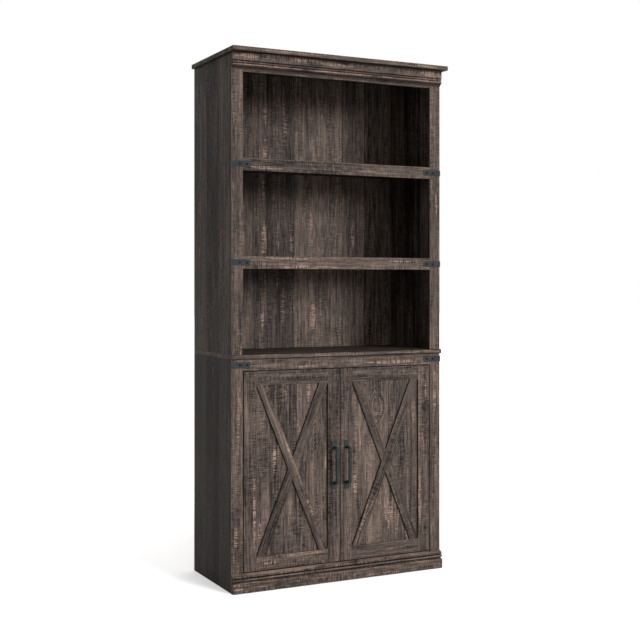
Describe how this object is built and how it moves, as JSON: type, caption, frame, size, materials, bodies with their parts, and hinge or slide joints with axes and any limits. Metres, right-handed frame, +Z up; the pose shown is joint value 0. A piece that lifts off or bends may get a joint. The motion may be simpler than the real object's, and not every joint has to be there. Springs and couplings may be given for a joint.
{
  "type": "bookcase with doors",
  "caption": "Tall farmhouse bookcase: open bays between fixed shelves over a cabinet with side-hung doors faced with diagonal braces.",
  "frame": {"origin": "on the floor, under the middle of the top slab", "axes": "+Z up, +X to the right when facing the bookcase, the front faces -Y"},
  "size_m": [0.83, 0.388, 1.8],
  "materials": {
    "front_wood": "dark brown-grey rustic oak laminate with saw marks and worn tan patches, matte",
    "side_wood": "the same laminate, darker and greyer, matte",
    "back_wood": "thin board printed as vertical planks of the same rustic oak, matte",
    "black_iron": "slate-black satin powder coat",
    "hinge_steel": "bright zinc plate"
  },
  "bodies": {
    "carcass": {"top_slab": "front_wood", "crown_moulding": "front_wood", "crown_rail": "front_wood", "upper_stile_left": "front_wood", "upper_stile_right": "front_wood", "shelf_rail_1": "front_wood", "shelf_rail_2": "front_wood", "mid_slab": "front_wood", "door_rail": "front_wood", "lower_stile_left": "front_wood", "lower_stile_right": "front_wood", "plinth_moulding": "front_wood", "upper_side_left": "side_wood", "upper_side_right": "side_wood", "lower_side_left": "side_wood", "lower_side_right": "side_wood", "shelf_1": "side_wood", "shelf_2": "side_wood", "bottom_panel": "side_wood", "hinge_post_left": "side_wood", "hinge_post_right": "side_wood", "inner_shelf": "side_wood", "upper_back": "back_wood", "lower_back": "back_wood", "strap_shelf_1_left": "black_iron", "strap_shelf_1_right": "black_iron", "strap_shelf_2_left": "black_iron", "strap_shelf_2_right": "black_iron", "strap_door_rail_left": "black_iron", "strap_door_rail_right": "black_iron", "hinge_arm_top_left": "hinge_steel", "hinge_arm_top_right": "hinge_steel", "hinge_arm_bottom_left": "hinge_steel", "hinge_arm_bottom_right": "hinge_steel", "shelf_pin_front_left": "hinge_steel", "shelf_pin_front_right": "hinge_steel", "shelf_pin_rear_left": "hinge_steel", "shelf_pin_rear_right": "hinge_steel"},
    "door_left": {"door_panel_left": "front_wood", "door_hinge_stile_left": "front_wood", "door_meeting_stile_left": "front_wood", "door_top_rail_left": "front_wood", "door_bottom_rail_left": "front_wood", "door_brace_left": "front_wood", "door_brace_upper_half_left": "front_wood", "door_brace_lower_half_left": "front_wood", "handle_left": "black_iron", "hinge_cup_top_left": "hinge_steel", "hinge_cup_bottom_left": "hinge_steel"},
    "door_right": {"door_panel_right": "front_wood", "door_hinge_stile_right": "front_wood", "door_meeting_stile_right": "front_wood", "door_top_rail_right": "front_wood", "door_bottom_rail_right": "front_wood", "door_brace_right": "front_wood", "door_brace_upper_half_right": "front_wood", "door_brace_lower_half_right": "front_wood", "handle_right": "black_iron", "hinge_cup_top_right": "hinge_steel", "hinge_cup_bottom_right": "hinge_steel"}
  },
  "joints": [
    {"name": "door_left_hinge", "type": "hinge", "parent": "carcass", "child": "door_left", "pos_m": [-0.3615, -0.154, 0.397], "axis": [0, 0, -1], "range_deg": [0, 105]},
    {"name": "door_right_hinge", "type": "hinge", "parent": "carcass", "child": "door_right", "pos_m": [0.3615, -0.154, 0.397], "axis": [0, 0, 1], "range_deg": [0, 105]}
  ]
}
